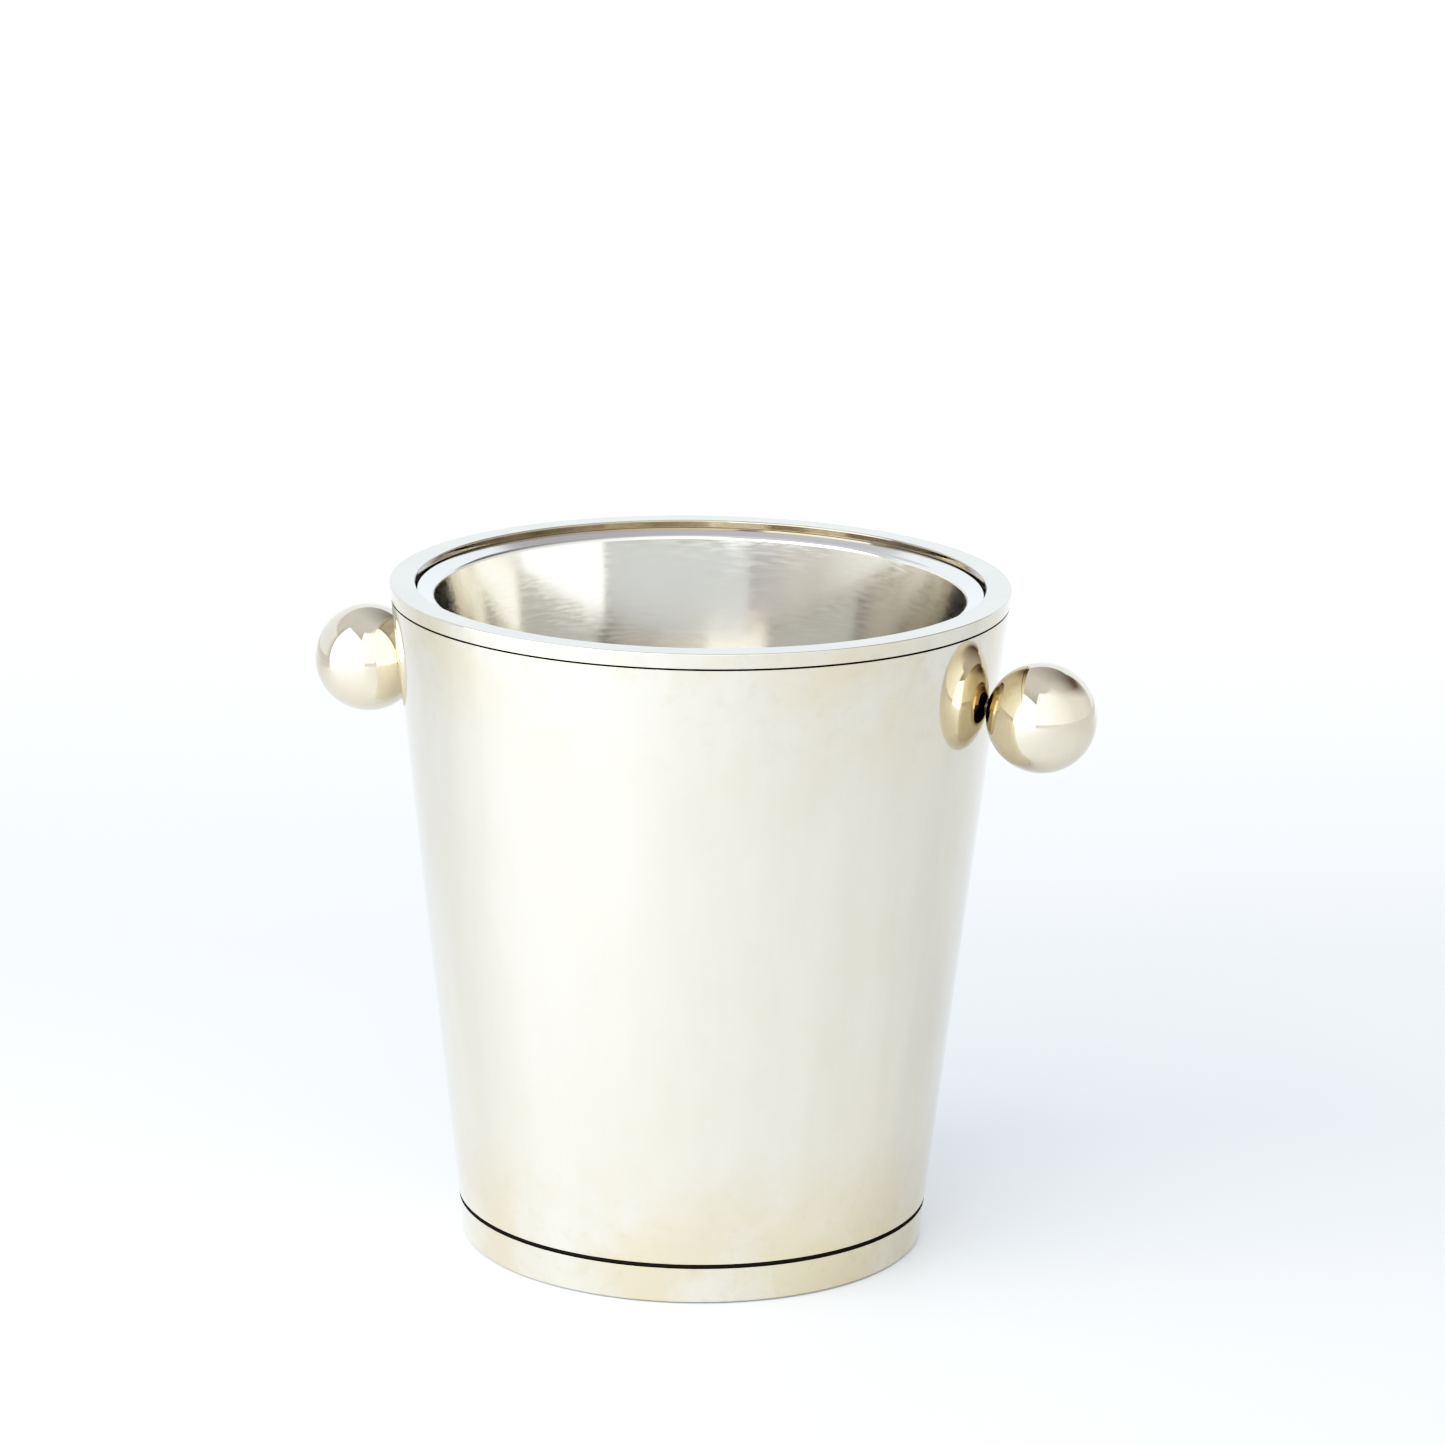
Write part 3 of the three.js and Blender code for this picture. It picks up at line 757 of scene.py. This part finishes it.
def groove_painted_shade():
    """Near-black painted shade in a narrow groove, where the groove's own shadow falls."""
    material, shader, tree = new_material("groove_painted_shade", Specular_IOR_Level=0.05)
    place = add_node(tree, "ShaderNodeTexCoord").outputs["Object"]
    film = noise(tree, place, scale=260, detail=4)
    colour = blend_colour(tree, film, (0.003, 0.0025, 0.002), (0.010, 0.008, 0.007))
    tree.links.new(colour, shader.inputs["Base Color"])
    tree.links.new(remap(tree, film, *NOISE_RANGE, 0.6, 0.85), shader.inputs["Roughness"])
    return material


def gasket_rubber():
    """Matte black rubber with a little dust."""
    material, shader, tree = new_material("gasket_rubber", Specular_IOR_Level=0.3)
    place = add_node(tree, "ShaderNodeTexCoord").outputs["Object"]
    dust = noise(tree, place, scale=300, detail=4)
    colour = blend_colour(tree, dust, (0.012, 0.012, 0.012), (0.035, 0.034, 0.032))
    tree.links.new(colour, shader.inputs["Base Color"])
    tree.links.new(remap(tree, dust, *NOISE_RANGE, 0.55, 0.8), shader.inputs["Roughness"])
    grain = noise(tree, place, scale=1500, detail=2)
    tree.links.new(bump(tree, grain, 2e-5), shader.inputs["Normal"])
    return material


def pad_felt():
    """Dense felt: matted fibres with a soft sheen."""
    material, shader, tree = new_material("pad_felt", Sheen_Weight=0.4, Sheen_Roughness=0.6,
                                          Specular_IOR_Level=0.1)
    place = add_node(tree, "ShaderNodeTexCoord").outputs["Object"]
    fibres = noise(tree, place, scale=900, detail=6, roughness=0.75)
    matting = noise(tree, place, scale=90, detail=3)
    dark = blend_colour(tree, matting, (0.045, 0.044, 0.04), (0.07, 0.068, 0.06))
    tree.links.new(blend_colour(tree, fibres, dark, (0.11, 0.105, 0.095)), shader.inputs["Base Color"])
    tree.links.new(remap(tree, fibres, *NOISE_RANGE, 0.85, 1), shader.inputs["Roughness"])
    tree.links.new(bump(tree, fibres, 3e-4), shader.inputs["Normal"])
    return material


# ---- Assembly ----

def make_body_pieces():
    wall = polished_silver("wall_silver", tarnish=1, everywhere=0.16)
    rim = polished_silver("rim_silver", tarnish=0.9, everywhere=0.5, tint=RIM_TINT)
    foot = polished_silver("foot_silver", tarnish=0.9, everywhere=0.5, tint=FOOT_TINT)
    liner = spun_steel("liner_steel", (0.70, 0.665, 0.60), 0.07, 0.14, 4e-7)
    cover = spun_steel("cover_aluminium", (0.66, 0.66, 0.65), 0.25, 0.38, 1.5e-6)
    fastener = plain_steel()
    rubber = gasket_rubber()
    felt = pad_felt()
    painted_groove_shade = groove_painted_shade()
    recess_shaded = polished_silver("recess_shaded_silver", tarnish=0.9, everywhere=0.9, tint=RECESS_SHADE)
    for node, section, slot, material in (
        ("outer_shell", outer_shell_section(), "wall_silver", wall),
        ("rim_collar", rim_collar_section(), "rim_silver", rim),
        ("base_ring", base_ring_section(), "rim_silver", foot),
    ):
        piece = place(turned(node, section), node, slot, material)
        if node == "rim_collar":
            finish_faces(piece.data, wall, on_band)
            # The collar's inner wall round the flange gets a darker copy of the silver, as painted shade.
            finish_faces(piece.data, recess_shaded, in_recess)
        # Faces in the shadow grooves get near-black painted shade.
        finish_faces(piece.data, painted_groove_shade, in_groove)
    place(turned("liner", liner_section(), closed=False), "liner", "liner_steel", liner, "inner_liner")
    place(turned("liner_gasket", liner_gasket_section()), "liner_gasket", "gasket_rubber", rubber)
    for node, slot, edge, material in (
        ("base_plate", "plain_steel", PLATE_EDGE, fastener),
        ("base_cover", "cover_aluminium", PLATE_EDGE, cover),
        ("base_pad", "pad_felt", PAD_EDGE, felt),
    ):
        place(turned(node, disc_section(node, edge), closed=False), node, slot, material)
    return fastener


def make_base_fasteners(fastener):
    for i in range(BASE_SCREW_COUNT):
        angle = tau * (i + 0.5) / BASE_SCREW_COUNT
        spot = Matrix.Rotation(angle, 4, "Z") @ Matrix.Translation(Vector((BASE_SCREW_CIRCLE, 0, 0)))
        nut_spot = spot @ Matrix.Translation(Vector((0, 0, PLATE_TOP)))
        screw = base_screw(f"base_screw_{i + 1}", spot)
        nut = hex_nut(f"base_nut_{i + 1}", BASE_NUT_ACROSS_FLATS, BASE_NUT_HEIGHT,
                      BASE_SCREW_RADIUS + NUT_PLAY, nut_spot)
        place(screw, f"base_screw_{i + 1}", "plain_steel", fastener)
        place(nut, f"base_nut_{i + 1}", "plain_steel", fastener)


def make_handle(side, index, fastener, silver):
    matrix = handle_matrix(index)
    stud_tail = STUD_NUT_PLACE - STUD_TIP
    stud_tip = BALL_FLAT + STUD_IN_BALL
    stud = skin(f"{side}_stud", threaded_rings(STUD_RADIUS, STUD_PITCH, stud_tail, stud_tip), matrix=matrix)
    nut = hex_nut(f"{side}_nut", STUD_NUT_ACROSS_FLATS, STUD_NUT_HEIGHT, STUD_RADIUS + NUT_PLAY,
                  matrix @ Matrix.Translation(Vector((0, 0, STUD_NUT_PLACE))))
    spring = spring_washer(f"{side}_spring_washer",
                           matrix @ Matrix.Translation(Vector((0, 0, SPRING_WASHER_PLACE))))
    place(ball(f"{side}_ball", matrix), f"{side}_ball", "ball_silver", silver)
    place(saddle_washer(f"{side}_saddle", matrix), f"{side}_saddle_washer", "plain_steel", fastener)
    place(sharpen(stud), f"{side}_stud", "plain_steel", fastener)
    place(nut, f"{side}_nut", "plain_steel", fastener)
    place(spring, f"{side}_spring_washer", "plain_steel", fastener)


# ---- Camera ----

CAMERA_AZIMUTH = radians(17.49)
CAMERA_DISTANCE = 2222.3
CAMERA_HEIGHT = 786.2
CAMERA_PITCH = 0.2503
CAMERA_YAW = 0.0044
CAMERA_ROLL = 0.0159
LENS = 139.25
SENSOR_WIDTH = 36


def make_camera():
    turn = Matrix.Rotation(CAMERA_AZIMUTH, 3, "Z")
    place_at = turn @ Vector((0, -CAMERA_DISTANCE, CAMERA_HEIGHT)) * MM
    forward = turn @ Vector((sin(CAMERA_YAW) * cos(CAMERA_PITCH), cos(CAMERA_YAW) * cos(CAMERA_PITCH),
                             -sin(CAMERA_PITCH)))
    right = forward.cross(Vector((0, 0, 1))).normalized()
    up = right.cross(forward)
    across = cos(CAMERA_ROLL) * right + sin(CAMERA_ROLL) * up
    upward = cos(CAMERA_ROLL) * up - sin(CAMERA_ROLL) * right
    data = bpy.data.cameras.new("camera")
    data.lens = LENS
    data.sensor_width = SENSOR_WIDTH
    camera = bpy.data.objects.new("camera", data)
    axes = Matrix((across, upward, -forward)).transposed()
    camera.matrix_world = Matrix.Translation(place_at) @ axes.to_4x4()
    bpy.context.scene.collection.objects.link(camera)
    bpy.context.scene.camera = camera


# ---- Studio ----

# Azimuth 0 is -Y, in front of the bucket, and +90 degrees is +X. The studio is in metres.

FLOOR_SIZE = 24
FLOOR_COLOURS = ((0.755, 0.76, 0.775), (0.785, 0.79, 0.805))
FLOOR_GLOW = (0.99, 1, 1)
# The floor whitens behind the bucket, under the window in front and far off all round: each is
# the distance where that starts, where it ends, and how strong it gets.
BACK_AZIMUTH = radians(197.49)
FRONT_AZIMUTH = radians(15)
WHITE_BEHIND = (0.4, 1.5, 0.8)
WHITE_FRONT = (0.6, 1.5, 0.2)
WHITE_FAR = (1.2, 2.6, 0.1)
# Behind the bucket it fades out to both sides, between these distances from the middle.
SIDE_AZIMUTH = radians(107.49)
WHITE_SIDES = (1.0, 1.8)
# A painted pool of window light glows on the floor in front of it, sharper on the right.
POOL_PLACE = Vector((-0.22, -0.46, 0))
POOL_CORE = 0.10
POOL_EDGE = 0.42
POOL_RIGHT_EDGE = 0.06
POOL_GLOW = 0.28

# The soft panel on the left: the azimuth and distance of its ends, its height and its light.
PANEL_START = (radians(-72), 0.98)
PANEL_END = (radians(6), 1.75)
PANEL_HEIGHT = 1.55
PANEL_RADIANCE = 5.4
PANEL_COLOUR = (0.91, 1.0, 1.05)
# The floor behind it glows a little in its place: how strongly, and how soon that starts and fades.
PANEL_FILL = 0.25
PANEL_FILL_EDGE = 0.02
PANEL_FILL_REACH = 0.6

# Radiance of each part of the studio.
WINDOW_LIGHT = (2.9, 3.2, 3.3)
SIDE_LIGHT = (1.30, 1.36, 1.40)
BEHIND_PANEL = (0.55, 0.60, 0.64)
BACKDROP = (1.45, 1.65, 1.90)
CEILING = (0.95, 1.00, 1.14)
DARK_CORNER = (0.15, 0.12, 0.13)
# What is seen past the floor, in views from low down, is a plain pale grey.
SEEN_DIRECTLY = (1.06, 1.09, 1.12)

# Where the studio changes, in degrees: a pair of azimuths or elevations that a change lies
# between, or, for an edge that slants, a pair of azimuths and its elevation at each.
PANEL_END_SIDE = (-2, 2)
WINDOW_TO_SIDE = (8, 90)
CEILING_EDGE_LEFT = (PANEL_END_SIDE, (42, 62))
CEILING_EDGE_RIGHT = ((40, 110), (62, 30))
CEILING_FULL = ((30, 110), (66, 90))
CEILING_BEHIND_RIGHT = (115, 148)
CEILING_BEHIND_LEFT = (-70, -85)
# The dark corner fades with the angle from its middle, and stops at a slanting lower edge, which
# it has only on the right.
DARK_DIRECTION = (0.468, 0.749, 0.469)
DARK_FADE = (10, 62)
DARK_LOWER_EDGE = ((50, 147), (66, 16))
DARK_EDGE_WIDTH = (-4, 14)
DARK_LEFT_SIDE = (0, -1)
# The backdrop's top, by the angle to each side of its middle, and its ends.
BACKDROP_MIDDLE = 203
BACKDROP_TOP = ((0, 40), (42, 34))
BACKDROP_RIGHT_END = ((36, 56), (34, -2))
BACKDROP_LEFT_END = (275, 290)
BACKDROP_EDGE_WIDTH = (-0.7, 0.7)

# Film-like tones: the brightest level kept, and points of the curve below it.
WHITE_LEVEL = 1.5
TONE_POINTS = ((0.4, 0.60), (0.667, 0.84), (0.833, 0.94))


def at_azimuth(azimuth, distance):
    return Vector((sin(azimuth), -cos(azimuth), 0)) * distance


def facing_out(start, end):
    """The level direction square to a line between two floor points, away from the bucket."""
    out = (end - start).cross(Vector((0, 0, 1))).normalized()
    return out * copysign(1, out.dot(start + end))


def floor_whiteness(tree, place_at):
    """The glow that turns the floor white behind the bucket, in front of it and far off."""
    def towards(azimuth):
        return measure(tree, "DOT_PRODUCT", place_at, at_azimuth(azimuth, 1))

    def whiten(distance, start, end, strength):
        return remap(tree, distance, start, end, 0, strength)

    off_middle = maths(tree, "ABSOLUTE", towards(SIDE_AZIMUTH))
    behind = whiten(towards(BACK_AZIMUTH), *WHITE_BEHIND)
    behind = multiply(tree, behind, remap(tree, off_middle, *WHITE_SIDES, 1, 0))
    far = whiten(measure(tree, "LENGTH", place_at), *WHITE_FAR)
    front = whiten(towards(FRONT_AZIMUTH), *WHITE_FRONT)
    return maths(tree, "MAXIMUM", maths(tree, "MAXIMUM", behind, far), front)


def window_pool(tree, place_at):
    """The glow of the pool of window light."""
    from_pool = measure(tree, "DISTANCE", place_at, POOL_PLACE)
    round_pool = remap(tree, from_pool, POOL_CORE, POOL_EDGE, POOL_GLOW, 0)
    across = add_node(tree, "ShaderNodeSeparateXYZ", {"Vector": place_at}).outputs["X"]
    return multiply(tree, round_pool, remap(tree, across, -POOL_RIGHT_EDGE, POOL_RIGHT_EDGE, 1, 0))


def panel_fill(tree, place_at):
    """The glow of the floor behind the panel, which lights only the floor in front of it."""
    start = at_azimuth(*PANEL_START)
    out = facing_out(start, at_azimuth(*PANEL_END))
    line = out.dot(start)
    reach = measure(tree, "DOT_PRODUCT", place_at, out)
    past = remap(tree, reach, line, line + PANEL_FILL_EDGE, 0, 1)
    return multiply(tree, past, remap(tree, reach, line, line + PANEL_FILL_REACH, PANEL_FILL, 0))


def make_floor():
    mesh = bpy.data.meshes.new("floor")
    half = FLOOR_SIZE / 2
    corners = [(-half, -half, 0), (half, -half, 0), (half, half, 0), (-half, half, 0)]
    mesh.from_pydata(corners, [], [(0, 1, 2, 3)])
    material, shader, tree = new_material("floor", Roughness=0.5, Specular_IOR_Level=0.35)
    place_at = add_node(tree, "ShaderNodeTexCoord").outputs["Object"]
    mottle = noise(tree, place_at, scale=3, detail=2)
    tree.links.new(blend_colour(tree, mottle, *FLOOR_COLOURS), shader.inputs["Base Color"])
    glow = maths(tree, "ADD", floor_whiteness(tree, place_at), window_pool(tree, place_at))
    glow = maths(tree, "MAXIMUM", glow, panel_fill(tree, place_at))
    shader.inputs["Emission Color"].default_value = (*FLOOR_GLOW, 1)
    tree.links.new(glow, shader.inputs["Emission Strength"])
    mesh.materials.append(material)
    floor = bpy.data.objects.new("floor", mesh)
    bpy.context.scene.collection.objects.link(floor)


def panel(name, start, end, height, radiance, colour):
    """An upright soft panel between two floor points, facing the bucket."""
    length = (end - start).length
    data = bpy.data.lights.new(name, "AREA")
    data.shape = "RECTANGLE"
    data.size = length
    data.size_y = height
    data.energy = radiance * pi * length * height
    data.color = colour
    lamp = bpy.data.objects.new(name, data)
    lamp.visible_camera = False
    lamp.location = (start + end) / 2 + Vector((0, 0, height / 2))
    lamp.rotation_euler = facing_out(start, end).to_track_quat("Z", "Y").to_euler()
    bpy.context.scene.collection.objects.link(lamp)


def make_lights():
    panel("left_panel", at_azimuth(*PANEL_START), at_azimuth(*PANEL_END), PANEL_HEIGHT,
          PANEL_RADIANCE, PANEL_COLOUR)


def ramp(tree, angle, between, low=0.0, high=1.0):
    """Goes from low to high as an angle goes between two, which are in degrees."""
    return remap(tree, angle, *map(radians, between), low, high)


def slant(tree, angle, between, elevations):
    """The elevation of an edge that slants."""
    return ramp(tree, angle, between, *map(radians, elevations))


def room(tree, azimuth, elevation):
    """Bright low down in front and on the right, with a grey ceiling that comes down behind."""
    low = blend_colour(tree, ramp(tree, azimuth, WINDOW_TO_SIDE), WINDOW_LIGHT, SIDE_LIGHT)
    low = blend_colour(tree, ramp(tree, azimuth, PANEL_END_SIDE), BEHIND_PANEL, low)
    edge_left = slant(tree, azimuth, *CEILING_EDGE_LEFT)
    edge = maths(tree, "MINIMUM", edge_left, slant(tree, azimuth, *CEILING_EDGE_RIGHT))
    above = remap(tree, elevation, edge, slant(tree, azimuth, *CEILING_FULL), 0, 1)
    colour = blend_colour(tree, above, low, CEILING)
    behind_left = ramp(tree, azimuth, CEILING_BEHIND_LEFT)
    behind = maths(tree, "MAXIMUM", ramp(tree, azimuth, CEILING_BEHIND_RIGHT), behind_left)
    return blend_colour(tree, behind, colour, CEILING)


def dark_corner(tree, direction, azimuth, elevation):
    """How much the dark corner shows: most at one point, and nothing under its slanting edge."""
    angle = maths(tree, "ARCCOSINE", measure(tree, "DOT_PRODUCT", direction, DARK_DIRECTION))
    above = maths(tree, "SUBTRACT", elevation, slant(tree, azimuth, *DARK_LOWER_EDGE))
    above = ramp(tree, above, DARK_EDGE_WIDTH)
    above = maths(tree, "MAXIMUM", above, ramp(tree, azimuth, DARK_LEFT_SIDE))
    return multiply(tree, ramp(tree, angle, DARK_FADE, 1, 0), above)


def backdrop(tree, azimuth, elevation):
    """How much the backdrop shows: it has an arched top, and an end on each side."""
    full_turn = maths(tree, "WRAP", azimuth, tau, 0.0)
    aside = maths(tree, "SUBTRACT", radians(BACKDROP_MIDDLE), full_turn)
    arch = slant(tree, maths(tree, "ABSOLUTE", aside), *BACKDROP_TOP)
    top = maths(tree, "MINIMUM", arch, slant(tree, aside, *BACKDROP_RIGHT_END))
    under_top = ramp(tree, maths(tree, "SUBTRACT", top, elevation), BACKDROP_EDGE_WIDTH)
    return multiply(tree, under_top, ramp(tree, full_turn, BACKDROP_LEFT_END, 1, 0))


def make_world():
    """The studio by direction: a bright front right, a white backdrop, a grey ceiling, a dark corner."""
    world = bpy.data.worlds.new("studio")
    world.use_nodes = True
    tree = world.node_tree
    direction = add_node(tree, "ShaderNodeTexCoord").outputs["Generated"]
    split = add_node(tree, "ShaderNodeSeparateXYZ", {"Vector": direction})
    x, y, z = (split.outputs[axis] for axis in "XYZ")
    azimuth = maths(tree, "ARCTAN2", x, multiply(tree, y, -1.0))
    elevation = maths(tree, "ARCSINE", z)
    colour = room(tree, azimuth, elevation)
    colour = blend_colour(tree, dark_corner(tree, direction, azimuth, elevation), colour, DARK_CORNER)
    colour = blend_colour(tree, backdrop(tree, azimuth, elevation), colour, BACKDROP)
    seen_directly = add_node(tree, "ShaderNodeLightPath").outputs["Is Camera Ray"]
    colour = blend_colour(tree, seen_directly, colour, SEEN_DIRECTLY)
    background = tree.nodes["Background"]
    tree.links.new(colour, background.inputs["Color"])
    background.inputs["Strength"].default_value = 1
    bpy.context.scene.world = world


def set_tones():
    """A soft shoulder in the brightest tones, as film and cameras have."""
    view = bpy.context.scene.view_settings
    view.view_transform = "Standard"
    view.use_curve_mapping = True
    mapping = view.curve_mapping
    mapping.white_level = (WHITE_LEVEL,) * 3
    curve = mapping.curves[3]
    for x, y in TONE_POINTS:
        curve.points.new(x, y)
    mapping.update()


fastener_steel = make_body_pieces()
make_base_fasteners(fastener_steel)
ball_silver = polished_silver("ball_silver", tarnish=0.5, everywhere=0.5, tint=BALL_TINT, waviness=1e-5)
for handle_index, handle_side in enumerate(("right", "left")):
    make_handle(handle_side, handle_index, fastener_steel, ball_silver)
make_camera()
make_floor()
make_lights()
make_world()
set_tones()
